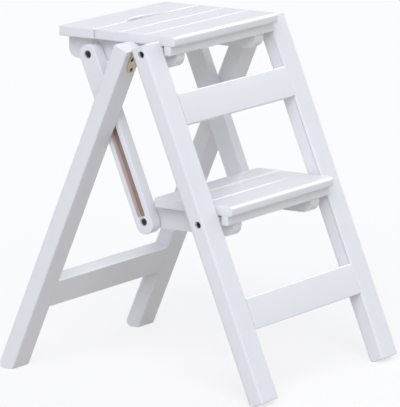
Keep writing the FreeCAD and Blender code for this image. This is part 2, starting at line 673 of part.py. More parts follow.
def front_pivot_set(tread_height):
    """Bolts, spacers, washers and nuts of a tread's two front pivots, all held by the stiles."""
    y, z = front_pivot(tread_height)
    head_x = FRAME_WIDTH / 2 - STILE_WELL_DEPTH
    washer_x = CLEAT_INSIDE - SLIDE_GAP
    nut_x = washer_x - WASHER_THICKNESS
    tip_x = nut_x - NUT_HEIGHT - BOLT_TIP
    bore = BOLT_RADIUS + GLUE_GAP
    parts = {"bolts": [], "spacers": [], "washers": [], "nuts": []}
    for side in SIDES.values():
        cleat_x = side * (CLEAT_OUTSIDE + SLIDE_GAP)
        parts["bolts"].append(socket_bolt(side, head_x, tip_x, y, z))
        parts["spacers"].append(ring(SPACER_RADIUS, bore, side * POST_INSIDE, cleat_x, y, z))
        parts["washers"].append(ring(WASHER_RADIUS, bore, side * washer_x, side * nut_x, y, z))
        parts["nuts"].append(pivot_nut(side, nut_x, y, z))
    return parts


def link_pivot_set(tread_height):
    """Bolts, washers and nuts of a tread's two link pivots, all held by its cleats."""
    y, z = rear_pivot(tread_height)
    head_x = LINK_OUTSIDE - LINK_WELL_DEPTH + SLIDE_GAP
    nut_x = CLEAT_INSIDE
    tip_x = nut_x - NUT_HEIGHT - BOLT_TIP
    bore = BOLT_RADIUS + GLUE_GAP
    parts = {"bolts": [], "washers": [], "nuts": []}
    for side in SIDES.values():
        link_x = side * (LINK_INSIDE - SLIDE_GAP)
        parts["bolts"].append(socket_bolt(side, head_x, tip_x, y, z))
        parts["washers"].append(ring(WASHER_RADIUS, bore, side * CLEAT_OUTSIDE, link_x, y, z))
        parts["nuts"].append(pivot_nut(side, nut_x, y, z))
    return parts


def all_parts():
    """Every sub-part by its node name."""
    parts = {}
    seat_cleat_back = tread_back(SEAT_HEIGHT) - SEAT_CLEAT_REAR_SETBACK
    step_cleat_back = STEP_LINK_PIVOT[0] + STEP_CLEAT_BEHIND_PIVOT
    for name, side in SIDES.items():
        parts["stile_" + name] = stile(side)
        parts["rear_leg_" + name] = rear_leg(side)
        parts["link_" + name] = link(side)
        parts["stile_hinge_leaf_" + name] = leaf(side, -1, FRONT_FRAME)
        parts["leg_hinge_leaf_" + name] = leaf(side, 1, REAR_FRAME)
        parts["seat_cleat_" + name] = cleat(SEAT_HEIGHT, side, seat_cleat_back)
        parts["step_cleat_" + name] = cleat(STEP_HEIGHT, side, step_cleat_back)
    for name in RAILS:
        parts[name] = rail(name)
    sides = list(SIDES.values())
    front_dowels = rail_dowels(POST_INSIDE, *rail_middle("upper_rail"), FRONT_FRAME)
    front_dowels += rail_dowels(POST_INSIDE, *rail_middle("lower_rail"), FRONT_FRAME)
    parts["front_rail_dowels"] = Part.makeCompound(front_dowels)
    rear_dowels = rail_dowels(POST_INSIDE, *rail_middle("rear_rail"), REAR_FRAME)
    parts["rear_rail_dowels"] = Part.makeCompound(rear_dowels)
    parts["hinge_pins"] = Part.makeCompound([hinge_pin(side) for side in sides])
    parts["stile_leaf_screws"] = Part.makeCompound(leaf_screws(-1, FRONT_FRAME, 0, sides))
    parts["leg_leaf_screws"] = Part.makeCompound(leaf_screws(1, REAR_FRAME, 0, sides))
    parts["guide_pins"] = Part.makeCompound([guide_pin(side) for side in sides])
    parts["guide_collars"] = Part.makeCompound([guide_collar(side) for side in sides])
    seat_holes = cleat_screws(SEAT_HEIGHT, GLUE_GAP, sides)
    step_holes = cleat_screws(STEP_HEIGHT, GLUE_GAP, sides)
    seat_panel_depth = SEAT_DEPTH - REAR_BOARD_DEPTH - BOARD_GAP
    parts["seat_rear_board"] = rear_board().cut(seat_holes)
    parts["seat_panel"] = plank_panel(SEAT_HEIGHT, seat_panel_depth).cut(seat_holes)
    parts["step_panel"] = plank_panel(STEP_HEIGHT, STEP_DEPTH).cut(step_holes)
    for name, height in (("seat", SEAT_HEIGHT), ("step", STEP_HEIGHT)):
        parts[name + "_apron"] = apron(height)
        parts[name + "_screws"] = Part.makeCompound(cleat_screws(height, 0, sides))
        for kind, pieces in front_pivot_set(height).items():
            parts[name + "_pivot_" + kind] = Part.makeCompound(pieces)
        for kind, pieces in link_pivot_set(height).items():
            parts[name + "_link_" + kind] = Part.makeCompound(pieces)
    return parts


def footprint_middle():
    """The middle of the footprint, from the toe of the stiles to the heel of the rear legs."""
    toe = STILE_FRONT * COS + stile_foot() * SIN
    return (toe + heel_centre() + HEEL_RADIUS) / 2


def main():
    parts = all_parts()
    shift = vec(0, -footprint_middle(), 0)
    for node, shape in parts.items():
        shape.translate(shift)
        shape.exportStep("parts/" + node + ".step")
    print("nodes", len(parts))
    for name, point in (("hinge", (0, HINGE_HEIGHT)), ("seat_pivot", SEAT_FRONT_PIVOT),
                        ("step_pivot", STEP_FRONT_PIVOT), ("seat_link", SEAT_LINK_PIVOT),
                        ("step_link", STEP_LINK_PIVOT)):
        print(name, round(point[0] + shift.y, 4), round(point[1], 4))


os.makedirs("parts", exist_ok=True)
main()
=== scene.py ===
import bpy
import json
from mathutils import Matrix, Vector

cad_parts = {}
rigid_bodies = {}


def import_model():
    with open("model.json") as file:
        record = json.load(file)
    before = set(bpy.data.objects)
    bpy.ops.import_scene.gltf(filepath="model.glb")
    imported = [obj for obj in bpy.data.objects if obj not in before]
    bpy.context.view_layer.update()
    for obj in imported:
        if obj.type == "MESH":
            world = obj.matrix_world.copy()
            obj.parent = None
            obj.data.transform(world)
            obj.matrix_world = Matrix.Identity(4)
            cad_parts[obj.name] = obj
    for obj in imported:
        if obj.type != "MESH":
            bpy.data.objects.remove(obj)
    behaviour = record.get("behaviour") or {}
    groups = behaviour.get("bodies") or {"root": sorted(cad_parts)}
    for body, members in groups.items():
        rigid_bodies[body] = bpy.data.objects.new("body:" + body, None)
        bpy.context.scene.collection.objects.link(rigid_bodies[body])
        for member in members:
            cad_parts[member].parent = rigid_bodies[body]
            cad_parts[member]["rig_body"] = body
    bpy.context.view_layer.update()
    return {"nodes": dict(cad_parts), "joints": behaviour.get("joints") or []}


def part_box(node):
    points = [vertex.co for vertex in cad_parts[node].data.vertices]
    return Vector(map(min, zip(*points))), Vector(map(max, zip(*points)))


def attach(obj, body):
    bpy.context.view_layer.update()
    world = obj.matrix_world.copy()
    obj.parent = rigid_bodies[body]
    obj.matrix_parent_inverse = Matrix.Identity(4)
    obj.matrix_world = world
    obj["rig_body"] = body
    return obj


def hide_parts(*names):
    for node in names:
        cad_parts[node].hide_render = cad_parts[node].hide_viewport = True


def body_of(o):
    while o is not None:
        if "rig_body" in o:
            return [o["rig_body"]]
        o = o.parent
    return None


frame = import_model()

import json
import math

import bmesh
import bpy
import numpy as np
from mathutils import Vector

nodes = frame["nodes"]

# The view: a long lens from the front left, a little above the seat, as the photograph was taken.
# The middle of the fitted picture lies half a pixel above the middle of the frame.
IMAGE_WIDTH = 400
IMAGE_HEIGHT = 407
FOCAL_PIXELS = 4429.0
VIEW_AZIMUTH = math.radians(-56.7392)
VIEW_ELEVATION = math.radians(11.2552)
VIEW_DISTANCE = 6.6351
VIEW_TARGET = Vector((0.0, -0.00004, 0.24586))
PRINCIPAL_X = 200.0
PRINCIPAL_Y = 203.0
SENSOR_WIDTH = 36.0

camera_data = bpy.data.cameras.new("camera")
camera_data.sensor_width = SENSOR_WIDTH
camera_data.lens = FOCAL_PIXELS * SENSOR_WIDTH / max(IMAGE_WIDTH, IMAGE_HEIGHT)
camera_data.shift_x = (IMAGE_WIDTH / 2 - PRINCIPAL_X) / IMAGE_HEIGHT
camera_data.shift_y = (PRINCIPAL_Y - IMAGE_HEIGHT / 2) / IMAGE_HEIGHT
camera_data.clip_start = 0.1
camera_data.clip_end = 100.0
camera = bpy.data.objects.new("camera", camera_data)
bpy.context.scene.collection.objects.link(camera)
view_back = Vector((
    math.sin(VIEW_AZIMUTH) * math.cos(VIEW_ELEVATION),
    -math.cos(VIEW_AZIMUTH) * math.cos(VIEW_ELEVATION),
    math.sin(VIEW_ELEVATION)))
camera.location = VIEW_TARGET + view_back * VIEW_DISTANCE
camera.rotation_mode = "QUATERNION"
camera.rotation_quaternion = (-view_back).to_track_quat("-Z", "Y")
bpy.context.scene.camera = camera
bpy.context.scene.view_settings.view_transform = "Standard"


# The studio: a pale seamless floor, a soft cool key from the upper left front, a soft fill from
# the upper right, and pale surroundings. The lens sees floor and surroundings as near white.
FLOOR_BOUNCE = "#C8C4BC"
FLOOR_SEEN = "#9C9C9C"
FLOOR_GLOW = "#D8D8D8"
SKY_LIGHT = "#B3B5BF"
SKY_SEEN = "#FFFFFF"
FLOOR_HALF = 30.0
KEY_FROM = Vector((-0.69, -0.39, 0.61))
KEY_ENERGY = 1.78
KEY_COLOUR = (0.918, 0.922, 1.0)
KEY_SPREAD = math.radians(50.0)
FILL_FROM = Vector((0.82, -0.15, 0.55))
FILL_ENERGY = 0.5
FILL_COLOUR = (1.0, 0.99, 0.9)
FILL_SPREAD = math.radians(40.0)
GLINT_FROM = Vector((0.82, -0.195, 0.538))
GLINT_ENERGY = 2.1
GLINT_SPREAD = math.radians(30.0)


def linear(code):
    """An sRGB hex colour as linear red, green, blue and alpha."""
    values = np.array([int(code[i:i + 2], 16) / 255.0 for i in (1, 3, 5)])
    light = np.where(values <= 0.04045, values / 12.92, ((values + 0.055) / 1.055) ** 2.4)
    return (*light.tolist(), 1.0)


def add_node(tree, kind, settings=None, links=None):
    """Adds one shader node; settings are its own values, links its inputs by name or number."""
    node = tree.nodes.new(kind)
    for name, value in (settings or {}).items():
        setattr(node, name, value)
    for name, value in (links or {}).items():
        if isinstance(value, bpy.types.NodeSocket):
            tree.links.new(value, node.inputs[name])
        else:
            node.inputs[name].default_value = value
    return node


def new_material(name):
    """An empty node material and its node tree."""
    material = bpy.data.materials.new(name)
    material.use_nodes = True
    material.node_tree.nodes.clear()
    return material, material.node_tree


def seen_by_lens(tree):
    """One where the lens sees a surface, also mirrored or through glass; zero where it lights."""
    rays = add_node(tree, "ShaderNodeLightPath")
    either = add_node(tree, "ShaderNodeMath", {"operation": "MAXIMUM"},
                      {0: rays.outputs["Is Camera Ray"], 1: rays.outputs["Is Glossy Ray"]})
    return add_node(tree, "ShaderNodeMath", {"operation": "MAXIMUM"},
                    {0: either.outputs[0], 1: rays.outputs["Is Transmission Ray"]}).outputs[0]


floor_material, tree = new_material("pale_studio_paper")
bounce = add_node(tree, "ShaderNodeBsdfDiffuse", links={"Color": linear(FLOOR_BOUNCE)})
paper = add_node(tree, "ShaderNodeBsdfDiffuse", links={"Color": linear(FLOOR_SEEN)})
glow = add_node(tree, "ShaderNodeEmission", links={"Color": linear(FLOOR_GLOW), "Strength": 1.0})
bright = add_node(tree, "ShaderNodeAddShader", links={0: paper.outputs[0], 1: glow.outputs[0]})
shown = add_node(tree, "ShaderNodeMixShader",
                 links={0: seen_by_lens(tree), 1: bounce.outputs[0], 2: bright.outputs[0]})
add_node(tree, "ShaderNodeOutputMaterial", links={0: shown.outputs[0]})
floor_mesh = bpy.data.meshes.new("floor")
floor_mesh.from_pydata(
    [(-FLOOR_HALF, -FLOOR_HALF, 0), (FLOOR_HALF, -FLOOR_HALF, 0),
     (FLOOR_HALF, FLOOR_HALF, 0), (-FLOOR_HALF, FLOOR_HALF, 0)],
    [], [(0, 1, 2, 3)])
floor_mesh.materials.append(floor_material)
floor = bpy.data.objects.new("floor", floor_mesh)
bpy.context.scene.collection.objects.link(floor)

world = bpy.data.worlds.new("studio")
bpy.context.scene.world = world
world.use_nodes = True
tree = world.node_tree
tree.nodes.clear()
sky = add_node(tree, "ShaderNodeMix", {"data_type": "RGBA"},
               {0: seen_by_lens(tree), 6: linear(SKY_LIGHT), 7: linear(SKY_SEEN)})
surroundings = add_node(tree, "ShaderNodeBackground",
                        links={"Color": sky.outputs[2], "Strength": 1.0})
add_node(tree, "ShaderNodeOutputWorld", links={0: surroundings.outputs[0]})


def soft_sun(name, direction, energy, colour, spread):
    """A far soft lamp that shines from a direction."""
    data = bpy.data.lights.new(name, "SUN")
    data.energy = energy
    data.color = colour
    data.angle = spread
    lamp = bpy.data.objects.new(name, data)
    lamp.rotation_mode = "QUATERNION"
    lamp.rotation_quaternion = direction.to_track_quat("Z", "Y")
    bpy.context.scene.collection.objects.link(lamp)
    return lamp


key = soft_sun("key_light", KEY_FROM, KEY_ENERGY, KEY_COLOUR, KEY_SPREAD)
key.visible_glossy = False
soft_sun("fill_light", FILL_FROM, FILL_ENERGY, FILL_COLOUR, FILL_SPREAD)
glint = soft_sun("glint_light", GLINT_FROM, GLINT_ENERGY, (1.0, 1.0, 1.0), GLINT_SPREAD)
glint.visible_diffuse = False


# Stiles: the two front posts, beech 44 by 25 mm planed and routed round along their long edges,
# cut square at both ends and sprayed white. They lean back and carry the rails and both treads.
STILE_LEAN = math.radians(22.2)
GRAIN_ACROSS = 1.0 / 0.0011
GRAIN_ALONG = 1.0 / 0.055
SPRAY_CELLS = 1.0 / 0.0028
CLOUDS = 1.0 / 0.11
SAME_POINT = 0.000002
FLAT_ANGLE = math.radians(0.3)
SHARP_ANGLE = math.radians(32.0)
SANDED_END = 0.0014


def paint_coat(tree, turn):
    """Sprayed satin enamel over sanded beech, and the place it is drawn in.

    The turn lays the grain along Z. Fibres show faintly along it, under a fine spray ripple.
    """
    place = add_node(tree, "ShaderNodeTexCoord")
    grain = add_node(tree, "ShaderNodeMapping",
                     links={"Vector": place.outputs["Object"], "Rotation": turn})
    stretched = add_node(tree, "ShaderNodeMapping", links={
        "Vector": grain.outputs[0], "Scale": (GRAIN_ACROSS, GRAIN_ACROSS, GRAIN_ALONG)})
    fibres = add_node(tree, "ShaderNodeTexNoise", links={
        "Vector": stretched.outputs[0], "Scale": 1.0, "Detail": 3.0, "Roughness": 0.6})
    ripple = add_node(tree, "ShaderNodeTexNoise",
                      links={"Vector": grain.outputs[0], "Scale": SPRAY_CELLS, "Detail": 1.0})
    clouds = add_node(tree, "ShaderNodeTexNoise",
                      links={"Vector": grain.outputs[0], "Scale": CLOUDS, "Detail": 2.0})
    tone = add_node(tree, "ShaderNodeMix", {"data_type": "RGBA"},
                    {0: clouds.outputs[0], 6: linear("#EBECEE"), 7: linear("#F1F2F3")})
    thin = add_node(tree, "ShaderNodeMapRange",
                    links={0: fibres.outputs[0], 1: 0.62, 2: 0.85, 3: 0.0, 4: 0.25})
    colour = add_node(tree, "ShaderNodeMix", {"data_type": "RGBA"},
                      {0: thin.outputs[0], 6: tone.outputs[2], 7: linear("#DCDAD6")})
    gloss = add_node(tree, "ShaderNodeMapRange", links={0: clouds.outputs[0], 3: 0.32, 4: 0.44})
    height = add_node(tree, "ShaderNodeMath", {"operation": "MULTIPLY_ADD"},
                      {0: fibres.outputs[0], 1: 0.7, 2: ripple.outputs[0]})
    bump = add_node(tree, "ShaderNodeBump", links={
        "Height": height.outputs[0], "Strength": 0.14, "Distance": 0.0002})
    coat = add_node(tree, "ShaderNodeBsdfPrincipled", links={
        "Base Color": colour.outputs[2], "Roughness": gloss.outputs[0],
        "Normal": bump.outputs[0], "IOR": 1.5})
    return coat.outputs[0], grain.outputs[0]


def painted_wood(name, turn):
    """A material that is the paint coat alone."""
    material, tree = new_material(name)
    coat = paint_coat(tree, turn)[0]
    add_node(tree, "ShaderNodeOutputMaterial", links={0: coat})
    return material


def smooth_shading(mesh):
    """Smooth shading that stops at the edges that turn more than SHARP_ANGLE."""
    mesh.polygons.foreach_set("use_smooth", np.ones(len(mesh.polygons), bool))
    mesh.set_sharp_from_angle(angle=SHARP_ANGLE)


def eased_copy(name, finish, width, joined=True):
    """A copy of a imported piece, its sharp edges rounded by width and its flat triangles joined."""
    node = nodes[name]
    mesh = node.data.copy()
    edit = bmesh.new()
    edit.from_mesh(mesh)
    bmesh.ops.remove_doubles(edit, verts=edit.verts, dist=SAME_POINT)
    if joined:
        bmesh.ops.dissolve_limit(edit, angle_limit=FLAT_ANGLE, verts=edit.verts, edges=edit.edges)
    edit.to_mesh(mesh)
    edit.free()
    if "custom_normal" in mesh.attributes:
        mesh.attributes.remove(mesh.attributes["custom_normal"])
    mesh.materials.clear()
    mesh.materials.append(finish)
    smooth_shading(mesh)
    piece = bpy.data.objects.new(name + "_eased", mesh)
    bpy.context.scene.collection.objects.link(piece)
    soft = piece.modifiers.new("soft_edges", "BEVEL")
    soft.width = width
    soft.segments = 3
    soft.limit_method = "ANGLE"
    soft.angle_limit = SHARP_ANGLE
    soft.use_clamp_overlap = False
    soft.harden_normals = True
    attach(piece, body_of(node)[0])
    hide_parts(name)
    return piece


paint_on_stile = painted_wood("satin_enamel_on_beech_stile", (STILE_LEAN, 0.0, 0.0))
for side in ("left", "right"):
    eased_copy("stile_" + side, paint_on_stile, SANDED_END)


# Rails: the two front rails and the rear rail, planed beech glued between the posts on two
# 8 mm dowels at each end. Their ends meet the posts with a fine sanded joint line.
JOINT_LINE = 0.0005


def finish_node(name, finish):
    """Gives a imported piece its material; its shape is kept."""
    nodes[name].data.materials.clear()
    nodes[name].data.materials.append(finish)


paint_on_rail = painted_wood("satin_enamel_on_beech_rail", (0.0, math.pi / 2, 0.0))
for name in ("upper_rail", "lower_rail", "rear_rail"):
    eased_copy(name, paint_on_rail, JOINT_LINE)

# Bare turned beech: pale tan with fine darker pores along the dowel; it is hidden in the joints.
dowel_beech, tree = new_material("bare_turned_beech")
place = add_node(tree, "ShaderNodeTexCoord")
pores_place = add_node(tree, "ShaderNodeMapping", links={
    "Vector": place.outputs["Object"], "Scale": (GRAIN_ALONG, GRAIN_ACROSS, GRAIN_ACROSS)})
pores = add_node(tree, "ShaderNodeTexNoise",
                 links={"Vector": pores_place.outputs[0], "Scale": 1.0, "Detail": 3.0})
tan = add_node(tree, "ShaderNodeMix", {"data_type": "RGBA"},
               {0: pores.outputs[0], 6: linear("#B98F63"), 7: linear("#D8B88F")})
bare = add_node(tree, "ShaderNodeBsdfPrincipled",
                links={"Base Color": tan.outputs[2], "Roughness": 0.7})
add_node(tree, "ShaderNodeOutputMaterial", links={0: bare.outputs[0]})
for name in ("front_rail_dowels", "rear_rail_dowels"):
    finish_node(name, dowel_beech)


# Rear legs: two more 44 by 25 mm beech posts with crisper edges, hinged to the stiles at the top,
# cut level at the foot with a rounded heel, and painted as the rest.
LEG_LEAN = math.radians(22.8)
SANDED_FOOT = 0.0010

paint_on_leg = painted_wood("satin_enamel_on_beech_leg", (-LEG_LEAN, 0.0, 0.0))
for side in ("left", "right"):
    eased_copy("rear_leg_" + side, paint_on_leg, SANDED_FOOT)


# Top hinges: pale brass butt hinges, stamped leaves 1.7 mm thick whose knuckles are rolled round a
# pin. Each leaf is held by three countersunk cross-head screws.
JOINTS = {joint["name"]: joint for joint in frame["joints"]}
HINGE = np.array(JOINTS["rear_frame_fold"]["pos_m"])
POST_INSIDE = 0.147
HINGE_STANDOFF = 0.0031
LEAF_THICKNESS = 0.0017
LEAF_WIDTH = 0.026
LEAF_MIDDLE = POST_INSIDE + 0.004 + LEAF_WIDTH / 2
LEAF_EDGE = 0.0003
HINGE_PIN_RADIUS = 0.0014
HINGE_PIN_REACH = LEAF_WIDTH / 2 + 0.0003
HINGE_PIN_FACE = 0.0008
HINGE_PIN_CHAMFER = 0.0004
LEAF_SCREWS = ((-0.0075, 0.017), (0.0075, 0.017), (0.0, 0.0345))
LEAF_SCREW_HEAD = 0.0033
LEAF_SCREW_SHANK = 0.0017
LEAF_SCREW_LENGTH = 0.016
ROUND_STEPS = 48
SCRATCH = 1.0 / 0.0012
AROUND = np.linspace(0.0, 2 * math.pi, ROUND_STEPS, endpoint=False)
HEXAGON = 1.0 / np.cos((AROUND + math.pi / 6) % (math.pi / 3) - math.pi / 6)
# In a turned profile, a limit wider than any bar: no hexagon, or no rim
NO_LIMIT = 1.0
# A screw's head, all as shares of its radius: its middle ring, dome and cross
SCREW_RINGS = 14
MIDDLE_RING = 0.03
DOME_RISE = 0.05
CROSS_ARM = 0.22
CROSS_ARM_WALL = 0.10
CROSS_REACH = 0.72
CROSS_REACH_WALL = 0.12
CROSS_DEPTH = 0.62
CROSS_TAPER = 1.25
SCREW_TIP = 0.1


def worked_metal(name, colour, worn, roughness):
    """A plain metal whose tone and gloss vary with fine scratches."""
    material, tree = new_material(name)
    place = add_node(tree, "ShaderNodeTexCoord")
    scratch = add_node(tree, "ShaderNodeTexNoise",
                       links={"Vector": place.outputs["Object"], "Scale": SCRATCH, "Detail": 3.0})
    tone = add_node(tree, "ShaderNodeMix", {"data_type": "RGBA"},
                    {0: scratch.outputs[0], 6: linear(colour), 7: linear(worn)})
    gloss = add_node(tree, "ShaderNodeMapRange",
                     links={0: scratch.outputs[0], 3: roughness - 0.1, 4: roughness + 0.1})
    metal = add_node(tree, "ShaderNodeBsdfPrincipled", links={
        "Base Color": tone.outputs[2], "Roughness": gloss.outputs[0], "Metallic": 1.0})
    add_node(tree, "ShaderNodeOutputMaterial", links={0: metal.outputs[0]})
    return material


def shell(name, grids, finish, body, replaced, loop=False):
    """One closed mesh from grids of points, each rows by columns by 3.

    Columns close on themselves. The first and last rows are closed by flat faces, or with loop
    the last row joins the first.
    """
    points = []
    faces = []
    start = 0
    for grid in grids:
        rows, columns = grid.shape[:2]
        number = np.arange(rows * columns).reshape(rows, columns) + start
        here = number if loop else number[:-1]
        there = np.roll(number, -1, axis=0) if loop else number[1:]
        quads = np.stack([here, np.roll(here, -1, axis=1), np.roll(there, -1, axis=1), there], axis=-1)
        faces += quads.reshape(-1, 4).tolist()
        if not loop:
            faces += [number[0].tolist(), number[-1].tolist()]
        points.append(grid.reshape(-1, 3))
        start += rows * columns
    mesh = bpy.data.meshes.new(name)
    mesh.from_pydata(np.concatenate(points).tolist(), [], faces)
    edit = bmesh.new()
    edit.from_mesh(mesh)
    bmesh.ops.recalc_face_normals(edit, faces=edit.faces)
    edit.to_mesh(mesh)
    edit.free()
    mesh.materials.append(finish)
    smooth_shading(mesh)
    piece = bpy.data.objects.new(name, mesh)
    bpy.context.scene.collection.objects.link(piece)
    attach(piece, body)
    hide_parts(*replaced)
    return piece


def turned(profile, origin):
    """A pair of bars turned round a line along X, the left one first, each the other's mirror.

    A row of the profile is x, the half width of a hexagon and the largest radius. The radius at
    each angle is the smaller of the hexagon's and the largest.
    """
    rows = np.array(profile)
    radius = np.minimum(rows[:, 1:2] * HEXAGON, rows[:, 2:3])
    x = np.repeat(rows[:, 0:1], ROUND_STEPS, axis=1)
    y = origin[1] + radius * np.cos(AROUND)
    z = origin[2] + radius * np.sin(AROUND)
    return [np.stack([side * x, y, z], axis=-1) for side in (-1, 1)]


def cross_screw(head, shank, length, head_height, countersunk):
    """A cross-head wood screw round Z, its head's top at zero and its shank below.

    Rings go out from the middle of the head and down to the tip. The head is a low dome, and the
    cross is sunk where a point is near the X or Y axis and well inside the rim.
    """
    reach = np.linspace(MIDDLE_RING, 1.0, SCREW_RINGS)[:, None] * head
    dome = DOME_RISE * head * (1 - (reach / head) ** 2)
    near = np.minimum(np.abs(reach * np.cos(AROUND)), np.abs(reach * np.sin(AROUND)))
    narrow = np.clip((CROSS_ARM * head - near) / (CROSS_ARM_WALL * head), 0, 1)
    inside = np.clip((CROSS_REACH * head - reach) / (CROSS_REACH_WALL * head), 0, 1)
    arm = narrow * inside
    cross = CROSS_DEPTH * head * arm * (3 - 2 * arm) * arm
    top = dome - cross * np.clip(CROSS_TAPER - reach / head, 0, 1)
    rings = [np.stack([reach * np.cos(AROUND), reach * np.sin(AROUND), top], axis=-1)]
    neck = shank if countersunk else head
    below = ((neck, -head_height), (shank, -head_height),
             (shank, -length + 2 * shank), (SCREW_TIP * shank, -length))
    for radius, depth in below:
        ring = np.stack([radius * np.cos(AROUND), radius * np.sin(AROUND),
                         np.full(ROUND_STEPS, depth)], axis=-1)
        rings.append(ring[None])
    return np.concatenate(rings)


def leaned(points, angle):
    """Points drawn round the hinge pin, turned about it by an angle and set in place."""
    y = points[..., 1] * math.cos(angle) - points[..., 2] * math.sin(angle) + HINGE[1]
    z = points[..., 1] * math.sin(angle) + points[..., 2] * math.cos(angle) + HINGE[2]
    return np.stack([points[..., 0], y, z], axis=-1)


# Brass-plated steel, dulled: a pale beige metal, a little warmer where the plating is worn.
plated_brass = worked_metal("dulled_brass_plate", "#D2C7B2", "#BBA988", 0.42)
# Leaf screws: a dark brown-grey metal, with little shine.
dark_brown_grey_metal = worked_metal("dark_brown_grey_metal", "#5B5142", "#3F3A33", 0.5)
# Zinc-plated screws: mid grey with a soft shine.
zinc_plate = worked_metal("zinc_plated_steel", "#9A9B9D", "#B8B9BC", 0.35)
for side in ("left", "right"):
    eased_copy("stile_hinge_leaf_" + side, plated_brass, LEAF_EDGE, False)
    eased_copy("leg_hinge_leaf_" + side, plated_brass, LEAF_EDGE, False)

pin_start = LEAF_MIDDLE - HINGE_PIN_REACH
pin_stop = LEAF_MIDDLE + HINGE_PIN_REACH
pin_profile = [(pin_start, NO_LIMIT, HINGE_PIN_FACE),
               (pin_start + HINGE_PIN_CHAMFER, NO_LIMIT, HINGE_PIN_RADIUS),
               (pin_stop - HINGE_PIN_CHAMFER, NO_LIMIT, HINGE_PIN_RADIUS),
               (pin_stop, NO_LIMIT, HINGE_PIN_FACE)]
shell("hinge_pins_turned", turned(pin_profile, HINGE),
      plated_brass, "front_frame", ["hinge_pins"])
for name, body, facing, angle in (("stile_leaf_screws", "front_frame", -1, -STILE_LEAN),
                                  ("leg_leaf_screws", "rear_frame", 1, LEG_LEAN)):
    screw = cross_screw(LEAF_SCREW_HEAD, LEAF_SCREW_SHANK, LEAF_SCREW_LENGTH,
                        LEAF_THICKNESS, True)
    grids = []
    for side in (-1, 1):
        for across, drop in LEAF_SCREWS:
            grids.append(leaned(np.stack([
                side * LEAF_MIDDLE + across + screw[..., 0],
                facing * (HINGE_STANDOFF - LEAF_THICKNESS - screw[..., 2]),
                screw[..., 1] - drop], axis=-1), angle))
    shell(name + "_cut", grids, dark_brown_grey_metal, body, [name])


# Guide pins: 6 mm ground steel pins pressed into the rear legs, each with a loose collar. Their
# rounded tips run in the grooves of the links.
GUIDE_PIN_RADIUS = 0.003
GUIDE_PIN_TIP = 0.1342
GUIDE_PIN_ROOT = POST_INSIDE + 0.020
GUIDE_PIN_ROUNDING = ((0.0, 0.0014), (0.0003, 0.0023), (0.0009, GUIDE_PIN_RADIUS))
COLLAR_RADIUS = 0.006
COLLAR_BORE = 0.00305
COLLAR_INNER = 0.1439
COLLAR_EDGE = 0.0005


def axis_of(name):
    """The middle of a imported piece's box at x zero, which is the axis of a pair of round parts."""
    low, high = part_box(name)
    return np.array([0.0, (low.y + high.y) / 2, (low.z + high.z) / 2])


# Ground steel: an even grey metal with a clear soft shine.
ground_steel = worked_metal("ground_steel", "#8E8F92", "#A6A7AA", 0.30)
guide_pin = axis_of("guide_pins")
pin_profile = [(GUIDE_PIN_TIP + step, NO_LIMIT, radius) for step, radius in GUIDE_PIN_ROUNDING]
pin_profile.append((GUIDE_PIN_ROOT, NO_LIMIT, GUIDE_PIN_RADIUS))
shell("guide_pins_turned", turned(pin_profile, guide_pin),
      ground_steel, "rear_frame", ["guide_pins"])


def ring_profile(x0, x1, bore, radius, edge):
    """A ring's section from x0 to x1: its bore, and an outside with corners cut by edge."""
    return [(x0, NO_LIMIT, bore), (x0, NO_LIMIT, radius - edge), (x0 + edge, NO_LIMIT, radius),
            (x1 - edge, NO_LIMIT, radius), (x1, NO_LIMIT, radius - edge), (x1, NO_LIMIT, bore)]


collar_profile = ring_profile(COLLAR_INNER, POST_INSIDE, COLLAR_BORE, COLLAR_RADIUS, COLLAR_EDGE)
shell("guide_collars_turned", turned(collar_profile, guide_pin),
      ground_steel, "rear_frame", ["guide_collars"], loop=True)


# Treads: beech planks glued up with rounded edges at each seam, a rounded nose at the front, and
# ends sanded soft. The seat has a separate rear board with a curved hand-hold in its front edge.
BOARD_THICKNESS = 0.015
TREAD_HALF_WIDTH = 0.141
NOSE_TOP_RADIUS = 0.006
NOSE_LOWER_RADIUS = 0.004
BOARD_EDGE_RADIUS = 0.0015
FRONT_PLANK = 0.0525
SECOND_PLANK = 0.044
SEAM_EASE = 0.0026
SEAM_TURN = 60.0
SEAM_FLOOR = 57.0
BOARD_END_RADIUS = 0.0014
HANDHOLD_HALF = 0.052
HANDHOLD_DEPTH = 0.015
HANDHOLD_EDGE_RADIUS = 0.0025
HANDHOLD_CORNER = 0.0008
HANDHOLD_ZONE = 0.06
HANDHOLD_STEPS = 97
HANDHOLD_EASE_OVER = 0.003
SAME_PLACE = 0.0001


def bend(y, z, radius, start, end, steps):
    """An arc round (y, z) between two angles in degrees: y, z and the outward normal of points.

    The centre and the radius may be columns, one row for each place along X.
    """
    angle = np.radians(np.linspace(start, end, steps))
    across = np.cos(angle)
    up = np.sin(angle)
    return np.stack(np.broadcast_arrays(y + radius * across, z + radius * up, across, up), axis=-1)


def board_places(middle=()):
    """Places along X, and how far a board is drawn in at each: a quarter circle at either end."""
    turn = np.radians(np.linspace(0.0, 90.0, 7))
    x = TREAD_HALF_WIDTH - BOARD_END_RADIUS + BOARD_END_RADIUS * np.sin(turn)
    drawn = BOARD_END_RADIUS * (1 - np.cos(turn))
    return (np.concatenate([-x[::-1], middle, x])[:, None],
            np.concatenate([drawn[::-1], np.zeros(len(middle)), drawn])[:, None])


def carried_board(profile, x, drawn):
    """A section carried along X, drawn in along its own normals by the amount at each place."""
    y = profile[..., 0] - drawn * profile[..., 2]
    z = profile[..., 1] - drawn * profile[..., 3]
    return np.stack([np.broadcast_to(x, y.shape), y, z], axis=-1)


